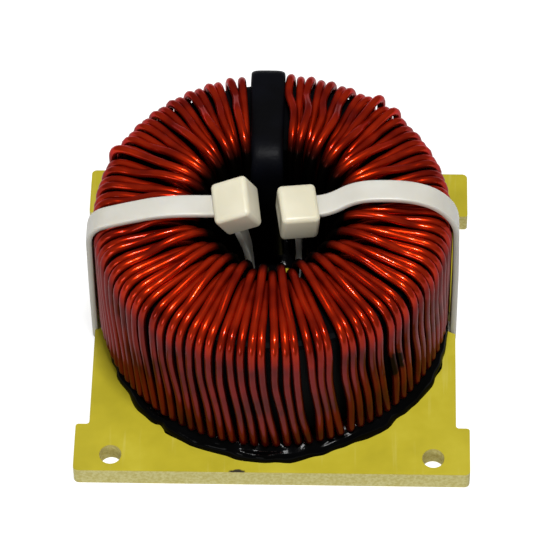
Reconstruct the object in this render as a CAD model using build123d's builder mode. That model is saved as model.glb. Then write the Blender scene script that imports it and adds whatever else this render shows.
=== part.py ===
# Toroidal power inductor on a yellow epoxy base board.
# Two stacked powder rings, wrapped in tape, carry two enamelled wires wound side by side.
# A bead of black glue seats the winding on the board, and two cable ties hold it down.
# Millimetres. The origin is the middle of the board's underside, X to the right, Y to the back.
from build123d import *
import os
from math import cos, radians, sin

# Base board
board_width = 75.0
board_length = 71.6
board_thickness = 4.2
lug_length = 10.6
side_recess = 2.6
board_corner_r = 1.0
recess_corner_r = 0.6

# Screw holes, one in each lug
screw_hole_d = 4.2
screw_inset_x = 6.95
screw_inset_y = 3.7

# Core: two rings, one on the other, under a layer of tape
core_outer_d = 62.0
core_inner_d = 32.6
ring_height = 13.8
ring_edge = 0.9
tape_thickness = 0.3
tape_corner = 1.4
tape_rim = 1.3
tape_rim_bulge = 0.3

# Where the middle of the core stands on the board
core_x = -0.3
core_y = 2.1

# Enamelled wire and how its turns lie
wire_d = 1.6
wire_sides = 6
wire_corner_r = 0.78
turn_count = 96
turns_in_node = 8
strands = 2
turn_lean = 1.0
layer_step = 1.45
bore_layers = (0, 2, 0, 1)
wall_slack = 1.1
top_slack = 1.0
bore_slack = 0.4
seat_slack = 0.05
board_clearance = 0.1
shoulder_r = 5.4
foot_r = 2.2
bore_bend = 2.2
ramp_r = 20.0
crest_round = 0.3

# The gap in the winding, at the back, where the start lead comes out
wall_gap_at = 94.0
wall_gap_angle = 18.2
bore_gap_at = 93.0
bore_gap_angle = 34.4

# Leads and their shrink sleeves
lead_angle_at = 93.0
lead_pitch = 1.7
lead_bore_r = 10.6
lead_bore_bend = 4.0
lead_edge_stand = 0.63
lead_edge_bend = 1.6
lead_back_stand = 3.9
lead_back_bend = 8.0
lead_back_z = 29.0
sleeve_wall = 0.3
sleeve_clearance = 0.05
sleeve_side_clearance = 1.1
sleeve_corner = 0.6
sleeve_bore_corner = 0.35
sleeve_stand_off = 0.15
finish_sleeve_low_z = 9.2
finish_sleeve_end_z = 15.0
finish_end_z = 10.0
start_merge_run = 1.8
start_sleeve_stand = 0.4
start_sleeve_length = 5.0
start_bare_length = 2.0
tinned_length = 3.0

# Glue bead round the foot of the winding
glue_front_stand = 1.2
glue_side_stand = -0.4
glue_spread = 2.2
glue_ripple = 0.25
glue_height = 2.7
glue_slope = 1.0
glue_bed_width = 4.6
glue_bed_height = 1.2
glue_clearance = 0.1
glue_points = 48

# Thin puddle of glue on the board inside the bore, with a spot left bare
puddle_r = 10.8
puddle_height = 1.0
puddle_clearance = 0.3
bare_spot_d = 1.6
bare_spot_x = 2.0
bare_spot_y = 12.3

# Cable ties
strap_width = 4.6
strap_thickness = 1.2
tie_y = -0.4
tie_lean_left = -1.6
tie_lean_right = 1.0
strap_stand_off = 0.15
strap_edge = 0.25
strap_root = 2.0
strap_crest_run = 5.5
strap_shoulder_r = 7.5
strap_wall_bend_r = 6.0
strap_shoulder_drop = 5.2
strap_bottom_r = 1.1
strap_slot_r = 1.5
riser_u = 4.0
riser_bend_r = 10.0
tie_side_clearance = 0.6
tie_end_clearance = 0.5
groove_clearance = 0.2
notch_stand_off = 0.65

# Tie heads
head_length = 6.8
head_width = 7.9
head_height = 5.8
head_rise = 1.0
head_round = 0.7
head_slot_clearance = 0.25
head_roof = 1.6
window_width = 3.6
window_height = 1.5
window_depth = 0.6

# What differs between the two ties: side, lean, the head's outer end, its tilt, roll and turn,
# the drop of its strap below the crest, and the height at which the riser starts to slant
tie_shapes = {
    "cable_tie_left": (-1, tie_lean_left, 10.9, 24.0, 9.0, 2.7, 0.0, 22.0),
    "cable_tie_right": (1, tie_lean_right, 8.4, 3.8, -4.5, 5.3, 2.2, 18.0),
}

# Heights and radii that follow from the sizes above
wire_r = wire_d / 2
core_outer_r = core_outer_d / 2
core_inner_r = core_inner_d / 2
low_first_z = board_thickness + board_clearance + wire_r + layer_step
core_low_z = low_first_z + wire_r + seat_slack + tape_thickness
core_top_z = core_low_z + 2 * ring_height
top_first_z = core_top_z + tape_thickness + wire_r + top_slack
wall_r = core_outer_r + tape_thickness + wire_r + wall_slack
winding_r = wall_r + wire_r
start_merge_r = wall_r + start_merge_run
start_sleeve_r = start_merge_r + start_sleeve_stand
start_end_r = start_sleeve_r + start_sleeve_length + start_bare_length
glue_front_r = winding_r + glue_front_stand
glue_side_r = winding_r + glue_side_stand
bore_first_r = core_inner_r - tape_thickness - wire_r - bore_slack
first_rim_r = bore_first_r + bore_bend
mid_z = (core_low_z + core_top_z) / 2
skin_in_r = core_inner_r - tape_thickness
skin_out_r = core_outer_r + tape_thickness
skin_low_z = core_low_z - tape_thickness
skin_top_z = core_top_z + tape_thickness
deepest_layer = max(bore_layers)
crest_z = top_first_z + deepest_layer * layer_step + wire_r
lead_top_z = core_top_z + tape_thickness + wire_r + sleeve_clearance + sleeve_wall + sleeve_stand_off
lead_edge_r = core_outer_r + lead_edge_stand
lead_back_r = core_outer_r + tape_thickness + lead_back_stand
recess_x = board_width / 2 - side_recess
screw_x = board_width / 2 - screw_inset_x
screw_y = board_length / 2 - screw_inset_y
tie_groove_width = strap_width + 2 * tie_side_clearance
strap_wall_u = winding_r + strap_stand_off + strap_thickness / 2
strap_top_z = crest_z + strap_stand_off + strap_thickness / 2
strap_low_z = strap_thickness / 2 + seat_slack
notch_r = tie_groove_width / 2
notch_x = strap_wall_u + notch_stand_off
groove_end_x = notch_x - 0.6 * notch_r


def on_ring(angle, radius, height):
    """A point by its angle about the core's axis, its radius and its height."""
    x = core_x + radius * cos(radians(angle))
    y = core_y + radius * sin(radians(angle))
    return Vector(x, y, height)


def turn_angle(index, middle, gap):
    """The angle of one turn, the turns being spread evenly outside the gap."""
    return middle + gap / 2 + index * (360 - gap) / (turn_count - 1)


def wall_angle(index):
    return turn_angle(index, wall_gap_at, wall_gap_angle)


def bore_angle(index):
    return turn_angle(index, bore_gap_at, bore_gap_angle)


def between(start, end, share, height):
    """A point above or below the straight line between two others, at a height of its own."""
    x = start.X + share * (end.X - start.X)
    y = start.Y + share * (end.Y - start.Y)
    return Vector(x, y, height)


def foot_angle(index):
    """Where a turn starts under the core; its wire leans on its way down the wall."""
    return wall_angle(index - strands + turn_lean)


def wall_top(index):
    return on_ring(wall_angle(index), wall_r, top_first_z - shoulder_r)


def wall_foot(index):
    return on_ring(foot_angle(index), wall_r, low_first_z + foot_r)


def wall_middle(index):
    """Half-way down the wall, on the run that leads into a turn."""
    return (wall_top(index - strands) + wall_foot(index)) * 0.5


def lead_joint(index):
    """Where the start lead meets the first turn of its strand."""
    return on_ring(foot_angle(index), wall_r, low_first_z)


def turn_points(index):
    """One turn: in under the core, up the bore and out over the top to the wall."""
    layer = bore_layers[index % len(bore_layers)]
    low_layer = min(layer, 1)
    inside = bore_angle(index)
    outside = wall_angle(index)
    bore_r = bore_first_r - layer * layer_step
    rim_r = bore_r + bore_bend
    top_z = top_first_z + layer * layer_step
    low_z = low_first_z - low_layer * layer_step
    shoulder_out = wall_r - shoulder_r * (1 - cos(radians(45)))
    shoulder_up = top_first_z - shoulder_r * (1 - sin(radians(45)))
    points = [on_ring(foot_angle(index), wall_r - foot_r, low_first_z)]
    if low_layer:
        points.append(on_ring(inside, first_rim_r, low_z))
    points += [
        on_ring(inside, rim_r, low_z),
        on_ring(inside, bore_r, low_z + bore_bend),
        on_ring(inside, bore_r, top_z - bore_bend),
        on_ring(inside, rim_r, top_z - crest_round * min(layer, 1)),
    ]
    top_outer = on_ring(outside, wall_r - shoulder_r, top_first_z)
    if layer:
        top_rim = on_ring(inside, first_rim_r, top_z)
        share = (ramp_r - first_rim_r) / (wall_r - shoulder_r - first_rim_r)
        points += [top_rim, between(top_rim, top_outer, share, top_z)]
    points += [top_outer, on_ring(outside, shoulder_out, shoulder_up), wall_top(index)]
    return points


def strand_points(first, last):
    """The run of one strand through its own turns, from mid-wall to mid-wall."""
    if first < strands:
        points = [lead_joint(first)]
    else:
        points = [wall_middle(first), wall_foot(first)]
    for index in range(first, last, strands):
        if index > first:
            points.append(wall_foot(index))
        points += turn_points(index)
        last_index = index
    points.append(wall_middle(last_index + strands))
    return points


def lead_point(angle, radius, aside, height):
    """A point in the radial plane of a lead, moved aside from that plane."""
    middle = on_ring(angle, radius, height)
    x = middle.X - aside * sin(radians(angle))
    y = middle.Y + aside * cos(radians(angle))
    return Vector(x, y, height)


# Base board: a plate with recessed sides, four screw holes, and for each tie a notch
# in the side, a groove underneath and a slot inside the bore
with BuildPart() as base_board:
    with BuildSketch():
        Rectangle(board_width, board_length)
        fillet(vertices(), board_corner_r)
        with Locations((board_width / 2, 0), (-board_width / 2, 0)):
            Rectangle(2 * side_recess, board_length - 2 * lug_length, mode=Mode.SUBTRACT)
        recess_corners = vertices().filter_by(lambda v: abs(abs(v.Y) - board_length / 2 + lug_length) < 0.01)
        fillet(recess_corners, recess_corner_r)
        with GridLocations(2 * screw_x, 2 * screw_y, 2, 2):
            Circle(screw_hole_d / 2, mode=Mode.SUBTRACT)
        for side in (-1, 1):
            with Locations((side * notch_x, tie_y)):
                Circle(notch_r, mode=Mode.SUBTRACT)
            with Locations((side * (notch_x + board_width / 2), tie_y)):
                Rectangle(board_width, tie_groove_width, mode=Mode.SUBTRACT)
            slot_x = core_x + side * riser_u
            with Locations((slot_x, tie_y)):
                Rectangle(strap_thickness + 2 * tie_end_clearance, tie_groove_width, mode=Mode.SUBTRACT)
    extrude(amount=board_thickness)
    with BuildSketch():
        for side in (-1, 1):
            inner_x = core_x + side * riser_u
            outer_x = side * groove_end_x
            with Locations(((inner_x + outer_x) / 2, tie_y)):
                Rectangle(abs(outer_x - inner_x), tie_groove_width)
    extrude(amount=strap_thickness + groove_clearance, mode=Mode.SUBTRACT)
base_board.part.label = "base_board"


def core_ring(low_z):
    """One powder ring with its edges broken."""
    with BuildPart() as ring:
        with BuildSketch(Plane.XY.offset(low_z)):
            with Locations((core_x, core_y)):
                Circle(core_outer_r)
                Circle(core_inner_r, mode=Mode.SUBTRACT)
        extrude(amount=ring_height)
        chamfer(ring.edges().filter_by(GeomType.CIRCLE).group_by(Axis.Z)[0 if low_z < mid_z - 1 else -1], ring_edge)
    return ring


core_ring_lower = core_ring(core_low_z)
core_ring_lower.part.label = "core_ring_lower"
core_ring_upper = core_ring(core_low_z + ring_height)
core_ring_upper.part.label = "core_ring_upper"

# Tape: one closed skin round the pair of rings, its inside the outline of the rings
with BuildPart() as core_tape:
    with BuildSketch(Plane(origin=(core_x, core_y, 0), z_dir=(0, -1, 0), x_dir=(1, 0, 0))):
        ring_width = core_outer_r - core_inner_r
        with BuildLine():
            Polyline(
                (skin_in_r, skin_low_z + tape_corner),
                (skin_in_r + tape_corner, skin_low_z),
                (skin_out_r - tape_corner, skin_low_z),
                (skin_out_r, skin_low_z + tape_corner),
                (skin_out_r, skin_top_z - tape_rim),
                (skin_out_r - tape_rim_bulge * tape_rim, skin_top_z - tape_rim_bulge * tape_rim),
                (skin_out_r - tape_rim, skin_top_z),
                (skin_in_r + tape_corner, skin_top_z),
                (skin_in_r, skin_top_z - tape_corner),
                close=True,
            )
        make_face()
        with BuildSketch(mode=Mode.PRIVATE) as rings_outline:
            with Locations(((core_outer_r + core_inner_r) / 2, mid_z)):
                Rectangle(ring_width, 2 * ring_height)
            chamfer(rings_outline.vertices(), ring_edge)
        add(rings_outline.sketch, mode=Mode.SUBTRACT)
    revolve(axis=Axis((core_x, core_y, 0), (0, 0, 1)))
core_tape.part.label = "core_tape"

# Winding: the two strands are laid turn by turn, in nodes of a few turns each
winding_nodes = []
for first_turn in range(0, turn_count, turns_in_node):
    with BuildPart() as turns:
        for strand in range(strands):
            route = strand_points(first_turn + strand, first_turn + turns_in_node)
            with BuildLine() as path:
                Polyline(*route)
            with BuildSketch(Plane(origin=route[0], z_dir=route[1] - route[0])):
                RegularPolygon(wire_corner_r, wire_sides)
            sweep(path=path.line, transition=Transition.RIGHT)
    turns.part.label = f"winding_turns_{first_turn // turns_in_node + 1:02d}"
    winding_nodes.append(turns)

def wire_run(points, bends):
    """A lead wire with rounded bends."""
    with BuildPart() as run:
        with BuildLine() as path:
            FilletPolyline(*points, radius=bends)
        with BuildSketch(Plane(origin=points[0], z_dir=points[1] - points[0])):
            RegularPolygon(wire_corner_r, wire_sides)
        sweep(path=path.line, transition=Transition.RIGHT)
    return run.part


def lead_sleeve(points, bends, along_ring):
    """A loose sleeve over a pair of wires, pressed flat: a wide tube with its corners taken off."""
    inner_height = wire_d + 2 * sleeve_clearance
    inner_width = lead_pitch + wire_d + 2 * sleeve_side_clearance
    with BuildPart() as sleeve:
        with BuildLine() as path:
            if bends:
                FilletPolyline(*points, radius=bends)
            else:
                Line(*points)
        with BuildSketch(Plane(origin=points[0], x_dir=along_ring, z_dir=points[1] - points[0])):
            outer = Rectangle(inner_width + 2 * sleeve_wall, inner_height + 2 * sleeve_wall)
            chamfer(outer.vertices(), sleeve_corner)
            with BuildSketch(mode=Mode.PRIVATE) as bore:
                Rectangle(inner_width, inner_height)
                chamfer(bore.vertices(), sleeve_bore_corner)
            add(bore.sketch, mode=Mode.SUBTRACT)
        sweep(path=path.line)
    return sleeve


def tip(start, direction):
    """The tinned end of one wire."""
    with BuildPart() as end:
        with BuildSketch(Plane(origin=start, z_dir=direction)):
            Circle(wire_r)
        extrude(amount=tinned_length)
    return end.part


# Start lead: the first two turns begin under the core at the back and leave side by side
start_angle = (foot_angle(0) + foot_angle(1)) / 2
start_outward = on_ring(start_angle, 1, 0) - on_ring(start_angle, 0, 0)
start_along = start_outward.rotate(Axis.Z, 90)
with BuildPart() as start_lead:
    for strand in range(strands):
        aside = (strand - 0.5) * lead_pitch
        straight_to = on_ring(foot_angle(strand), wall_r + wire_r, low_first_z)
        merge = lead_point(start_angle, start_merge_r, aside, low_first_z)
        end = lead_point(start_angle, start_end_r, aside, low_first_z)
        with BuildLine() as path:
            Polyline(lead_joint(strand), straight_to, merge, end)
        with BuildSketch(Plane(origin=lead_joint(strand), z_dir=straight_to - lead_joint(strand))):
            RegularPolygon(wire_corner_r, wire_sides)
        sweep(path=path.line, transition=Transition.RIGHT)
start_lead.part.label = "start_lead"

sleeve_from = on_ring(start_angle, start_sleeve_r, low_first_z)
sleeve_to = on_ring(start_angle, start_sleeve_r + start_sleeve_length, low_first_z)
start_sleeve = lead_sleeve([sleeve_from, sleeve_to], None, start_along)
start_sleeve.part.label = "start_sleeve"

with BuildPart() as start_tips:
    for strand in range(strands):
        aside = (strand - 0.5) * lead_pitch
        add(tip(lead_point(start_angle, start_end_r, aside, low_first_z), start_outward))
start_tips.part.label = "start_tips"

# Finish lead: the last two turns go up the bore together, over the top at the back and down
finish_bends = [lead_bore_bend, lead_edge_bend, lead_back_bend]
with BuildPart() as finish_lead:
    for strand in range(strands):
        aside = (strand - 0.5) * lead_pitch
        last = turn_count + strand
        wall_down = wall_foot(last) - wall_top(last - strands)
        foot_corner = wall_foot(last) + wall_down * (foot_r / abs(wall_down.Z))
        route = [
            wall_middle(last),
            foot_corner,
            lead_point(lead_angle_at, lead_bore_r, aside, low_first_z),
            lead_point(lead_angle_at, lead_bore_r, aside, lead_top_z),
            lead_point(lead_angle_at, lead_edge_r, aside, lead_top_z),
            lead_point(lead_angle_at, lead_back_r, aside, lead_back_z),
            lead_point(lead_angle_at, lead_back_r, aside, finish_end_z),
        ]
        add(wire_run(route, [foot_r, bore_bend] + finish_bends))
finish_lead.part.label = "finish_lead"

finish_route = [
    lead_point(lead_angle_at, lead_bore_r, 0, finish_sleeve_low_z),
    lead_point(lead_angle_at, lead_bore_r, 0, lead_top_z),
    lead_point(lead_angle_at, lead_edge_r, 0, lead_top_z),
    lead_point(lead_angle_at, lead_back_r, 0, lead_back_z),
    lead_point(lead_angle_at, lead_back_r, 0, finish_sleeve_end_z),
]
finish_along = lead_point(lead_angle_at, 0, 1, 0) - lead_point(lead_angle_at, 0, 0, 0)
finish_sleeve = lead_sleeve(finish_route, finish_bends, finish_along)
finish_sleeve.part.label = "finish_sleeve"

with BuildPart() as finish_tips:
    for strand in range(strands):
        aside = (strand - 0.5) * lead_pitch
        add(tip(lead_point(lead_angle_at, lead_back_r, aside, finish_end_z), Vector(0, 0, -1)))
finish_tips.part.label = "finish_tips"


def glue_outline(shrink, height):
    """The uneven edge of the bead: full in front and behind, thin beside the ties."""
    outline = []
    for step in range(glue_points):
        angle = 360 * step / glue_points
        fullness = min(1, glue_spread * abs(sin(radians(angle))))
        ripple = sin(radians(7 * angle)) + 0.6 * sin(radians(13 * angle + 40))
        radius = glue_side_r + (glue_front_r - glue_side_r) * fullness + glue_ripple * fullness * ripple
        outline.append(on_ring(angle, radius - shrink, height))
    return outline


# Glue: a bead round the foot of the winding and a thin bed under its rim
with BuildPart() as glue_bead:
    with BuildSketch(Plane.XY.offset(board_thickness)):
        with BuildLine():
            Polyline(*glue_outline(0, 0), close=True)
        make_face()
    with BuildSketch(Plane.XY.offset(board_thickness + glue_height)):
        with BuildLine():
            Polyline(*glue_outline(glue_slope, 0), close=True)
        make_face()
    loft(ruled=True)
    winding_clear_r = winding_r + glue_clearance
    with Locations((core_x, core_y, board_thickness)):
        Cylinder(
            winding_clear_r - glue_bed_width,
            glue_height,
            align=(Align.CENTER, Align.CENTER, Align.MIN),
            mode=Mode.SUBTRACT,
        )
    with Locations((core_x, core_y, board_thickness + glue_bed_height)):
        Cylinder(
            winding_clear_r,
            glue_height,
            align=(Align.CENTER, Align.CENTER, Align.MIN),
            mode=Mode.SUBTRACT,
        )
    channel_width = lead_pitch + 2 * wire_d
    channel = Location(on_ring(start_angle, winding_clear_r, board_thickness + glue_bed_height), (0, 0, start_angle))
    with Locations(channel):
        Box(
            2 * glue_bed_width,
            channel_width,
            glue_height,
            align=(Align.CENTER, Align.CENTER, Align.MIN),
            mode=Mode.SUBTRACT,
        )
glue_bead.part.label = "glue_bead"

# Glue that ran into the bore: a thin puddle, open at the slots of the ties
with BuildPart() as glue_puddle:
    with BuildSketch(Plane.XY.offset(board_thickness)):
        with Locations((core_x, core_y)):
            Circle(puddle_r)
        for side in (-1, 1):
            with Locations((core_x + side * riser_u, tie_y)):
                Rectangle(
                    strap_thickness + 2 * tie_end_clearance + 2 * puddle_clearance,
                    tie_groove_width + 2 * puddle_clearance,
                    mode=Mode.SUBTRACT,
                )
        with Locations((bare_spot_x, bare_spot_y)):
            Circle(bare_spot_d / 2, mode=Mode.SUBTRACT)
    extrude(amount=puddle_height)
glue_puddle.part.label = "glue_puddle"


def cable_tie(side, lean, head_u, tilt, roll, turn, drop, slant_z):
    """One tie: the strap from its head over the winding, round under the board and up
    the bore into the head again. The strap lies in a plane that leans a little."""
    across = Vector(0, -side * cos(radians(lean)), side * sin(radians(lean)))
    tie_plane = Plane(origin=(core_x, tie_y, 0), x_dir=(side, 0, 0), z_dir=across)
    root_v = strap_top_z - drop
    head_top = root_v + strap_thickness / 2 + head_rise
    along = (-cos(radians(tilt)), sin(radians(tilt)))
    down = (-sin(radians(tilt)), -cos(radians(tilt)))
    under_u = head_u + head_length / 2 * along[0] + head_height * down[0]
    under_v = head_top + head_length / 2 * along[1] + head_height * down[1]
    tail_rise = head_height - head_roof
    tail_run = (under_u - riser_u) / (under_v - slant_z)
    tail_end = (under_u + tail_run * tail_rise, under_v + tail_rise)
    root = (head_u - strap_root, root_v)
    crest_in = (bore_first_r - layer_step, strap_top_z)
    path_points = [
        root,
        crest_in,
        (bore_first_r + strap_crest_run, strap_top_z),
        (strap_wall_u, strap_top_z - strap_shoulder_drop),
        (strap_wall_u, strap_low_z),
        (riser_u, strap_low_z),
        (riser_u, slant_z),
        tail_end,
    ]
    bends = [riser_bend_r, strap_shoulder_r, strap_wall_bend_r, strap_bottom_r, strap_slot_r, riser_bend_r]
    if drop == 0:
        path_points.remove(crest_in)
        bends.pop(0)
    middle = tie_plane.from_local_coords(
        Vector(
            head_u + head_length / 2 * along[0] + head_height / 2 * down[0],
            head_top + head_length / 2 * along[1] + head_height / 2 * down[1],
            0,
        )
    )
    length_way = tie_plane.from_local_coords(Vector(along[0], along[1], 0)) - tie_plane.origin
    up_way = tie_plane.origin - tie_plane.from_local_coords(Vector(down[0], down[1], 0))
    head_plane = Plane(origin=middle, x_dir=length_way, z_dir=up_way).rotated((roll, 0, turn))
    tail_way = Vector(tail_end[0] - riser_u, tail_end[1] - slant_z, 0)
    with BuildPart() as tie:
        with BuildSketch(head_plane.offset(-head_height / 2)):
            Rectangle(head_length, head_width)
        extrude(amount=head_height)
        fillet(tie.edges(), head_round)
        slot_middle = tie_plane.from_local_coords(Vector(under_u, under_v, 0))
        slot_way = tie_plane.from_local_coords(tail_way) - tie_plane.origin
        slot_plane = Plane(origin=slot_middle, x_dir=across, z_dir=slot_way)
        with BuildSketch(slot_plane.offset(-head_height / 2)):
            Rectangle(strap_width + 2 * head_slot_clearance, strap_thickness + 2 * head_slot_clearance)
        extrude(amount=head_height / 2 + tail_rise + head_slot_clearance, mode=Mode.SUBTRACT)
        with BuildSketch(Plane(head_plane.location * Location((head_length / 2, 0, 0), (0, 90, 0)))):
            Rectangle(window_height, window_width)
        extrude(amount=-window_depth, mode=Mode.SUBTRACT)
        with BuildLine(tie_plane) as path:
            FilletPolyline(*path_points, radius=bends)
        start = path.line @ 0
        with BuildSketch(Plane(origin=start, x_dir=across, z_dir=path.line % 0)):
            strap = Rectangle(strap_width, strap_thickness)
            chamfer(strap.vertices(), strap_edge)
        sweep(path=path.line)
    return tie


ties = []
for tie_name, shape in tie_shapes.items():
    tie = cable_tie(*shape)
    tie.part.label = tie_name
    ties.append(tie)

nodes = [base_board, core_ring_lower, core_ring_upper, core_tape] + winding_nodes
nodes += [start_lead, start_sleeve, start_tips, finish_lead, finish_sleeve, finish_tips]
nodes += [glue_bead, glue_puddle] + ties
os.makedirs("parts", exist_ok=True)
for node in nodes:
    export_step(node.part, f"parts/{node.part.label}.step")
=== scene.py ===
# %% [markdown]
# A power inductor is a ring of pressed metal powder wound with thick enamelled wire. This one
# is glued to a yellow epoxy board and held down by two cable ties. The board, the taped rings
# and the hidden wire ends at the back keep the shapes of the CAD model. What this lesson adds
# is the wire itself, laid turn by turn with the small errors of hand winding, the poured glue,
# the ties and the sleeve as softer forms, and the finish of every surface.

# %% Load the frame
from math import cos, pi, radians, sin

import bmesh
import bpy
from mathutils import Matrix, Vector, noise


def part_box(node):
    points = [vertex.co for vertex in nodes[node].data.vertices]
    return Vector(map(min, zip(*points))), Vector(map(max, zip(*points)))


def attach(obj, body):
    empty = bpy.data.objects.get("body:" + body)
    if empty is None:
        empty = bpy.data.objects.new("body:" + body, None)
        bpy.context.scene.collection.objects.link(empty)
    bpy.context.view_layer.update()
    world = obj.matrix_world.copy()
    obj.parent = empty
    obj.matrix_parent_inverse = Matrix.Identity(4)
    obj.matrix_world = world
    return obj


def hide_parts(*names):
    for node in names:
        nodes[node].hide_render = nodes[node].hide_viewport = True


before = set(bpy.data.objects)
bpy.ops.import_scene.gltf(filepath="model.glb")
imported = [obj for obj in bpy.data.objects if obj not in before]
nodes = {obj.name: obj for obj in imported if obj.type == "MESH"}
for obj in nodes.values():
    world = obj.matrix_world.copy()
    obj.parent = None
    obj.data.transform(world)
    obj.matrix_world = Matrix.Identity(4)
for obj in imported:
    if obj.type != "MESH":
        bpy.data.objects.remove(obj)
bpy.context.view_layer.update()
MM = 0.001
print("CAD nodes:", len(nodes))

# %% [markdown]
# Blender's colours are linear, while a colour read off a chart or a screen is sRGB. One
# function turns a hex value into what a shader wants. A second one adds a shader node with its
# settings and links in one call, which keeps each material short enough to read at a glance.
# An input goes by its name, or by its number where two inputs of a node share a name.


# %% Colour and node helpers
def linear_colour(hex_code):
    """A linear RGBA colour from an sRGB hex value."""
    channels = []
    for place in (1, 3, 5):
        value = int(hex_code[place:place + 2], 16) / 255
        channels.append(value / 12.92 if value <= 0.04045 else ((value + 0.055) / 1.055) ** 2.4)
    return (*channels, 1.0)


def add_node(tree, kind, settings=None, **inputs):
    """A shader node: settings are its own properties, inputs are values or output sockets."""
    node = tree.nodes.new("ShaderNode" + kind)
    for name, value in (settings or {}).items():
        setattr(node, name, value)
    for name, value in inputs.items():
        numbered = name[0] == "i" and name[1:].isdigit()
        socket = node.inputs[int(name[1:]) if numbered else name.replace("_", " ")]
        if isinstance(value, bpy.types.NodeSocket):
            tree.links.new(value, socket)
        else:
            socket.default_value = value
    return node


def new_material(name):
    """An empty material, its tree and the coordinates that lie still on the object."""
    material = bpy.data.materials.new(name)
    material.use_nodes = True
    tree = material.node_tree
    tree.nodes.clear()
    place = add_node(tree, "TexCoord").outputs["Object"]
    return material, tree, place


def finish_material(tree, surface):
    add_node(tree, "OutputMaterial", Surface=surface)


def colour_steps(tree, value, steps):
    """A colour ramp from pairs of a position and a hex colour."""
    ramp = add_node(tree, "ValToRGB", Fac=value)
    stops = ramp.color_ramp.elements
    while len(stops) < len(steps):
        stops.new(0.5)
    for stop, (position, hex_code) in zip(stops, steps):
        stop.position = position
        stop.color = linear_colour(hex_code)
    return ramp.outputs["Color"]


def per_mm(size):
    """The scale of a pattern whose grains are about this many millimetres across."""
    return 1.0 / (size * MM)


def in_metres(point):
    return tuple(MM * value for value in point)


print("half grey on a screen is", round(linear_colour("#808080")[0], 3), "in linear light")

# %% [markdown]
# Dirt and smears are spots with a ragged edge. A spot is made from the distance to its middle,
# to which a fine noise is added, so that the edge wanders by a share of the spot's reach. The
# result is a mask from 0 to 1, which can mix two colours or two degrees of gloss.

# %% A mask for dirt and smears
ragged_mm = 1.1
ragged_share = 0.5
solid_share = 0.7


def spot(tree, place, middle, reach, shape=(1.0, 1.0, 1.0)):
    """1 inside an uneven spot on the object and 0 outside; middle and reach in millimetres."""
    moved = add_node(tree, "VectorMath", {"operation": "SUBTRACT"},
                     i0=place, i1=in_metres(middle))
    shaped = add_node(tree, "VectorMath", {"operation": "DIVIDE"},
                      i0=moved.outputs["Vector"], i1=shape)
    far = add_node(tree, "VectorMath", {"operation": "LENGTH"}, i0=shaped.outputs["Vector"])
    ragged = add_node(tree, "TexNoise", Vector=place, Scale=per_mm(ragged_mm), Detail=2.0)
    uneven = add_node(tree, "MapRange", Value=ragged.outputs["Fac"],
                      To_Min=-ragged_share * reach * MM, To_Max=ragged_share * reach * MM)
    total = add_node(tree, "Math", {"operation": "ADD"},
                     i0=far.outputs["Value"], i1=uneven.outputs["Result"])
    mask = add_node(tree, "MapRange", Value=total.outputs["Value"],
                    From_Min=solid_share * reach * MM, From_Max=reach * MM,
                    To_Min=1.0, To_Max=0.0)
    return mask.outputs["Result"]


# %% [markdown]
# The base is glass-epoxy laminate without copper, the yellow board that transformer makers cut
# with a saw. It could have one material for the faces and one for the edges. One that tells
# them apart by the direction of the surface is simpler, because the screw holes, the notches
# and the grooves then get their sawn walls by themselves.

# %% Yellow epoxy laminate
# Dirt on the board: the middle and the reach in millimetres, and the shape
board_dirt = (
    ((-6.4, -35.7, 4.2), 0.7, (2.2, 1.0, 0.6)),
    ((33.0, -0.2, 4.2), 0.5, (1.0, 1.0, 1.0)),
)
rub_direction = (0.0, 0.0, radians(28))
rub_stretch = (1.0, 0.06, 1.0)
rare_above = 0.93


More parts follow.
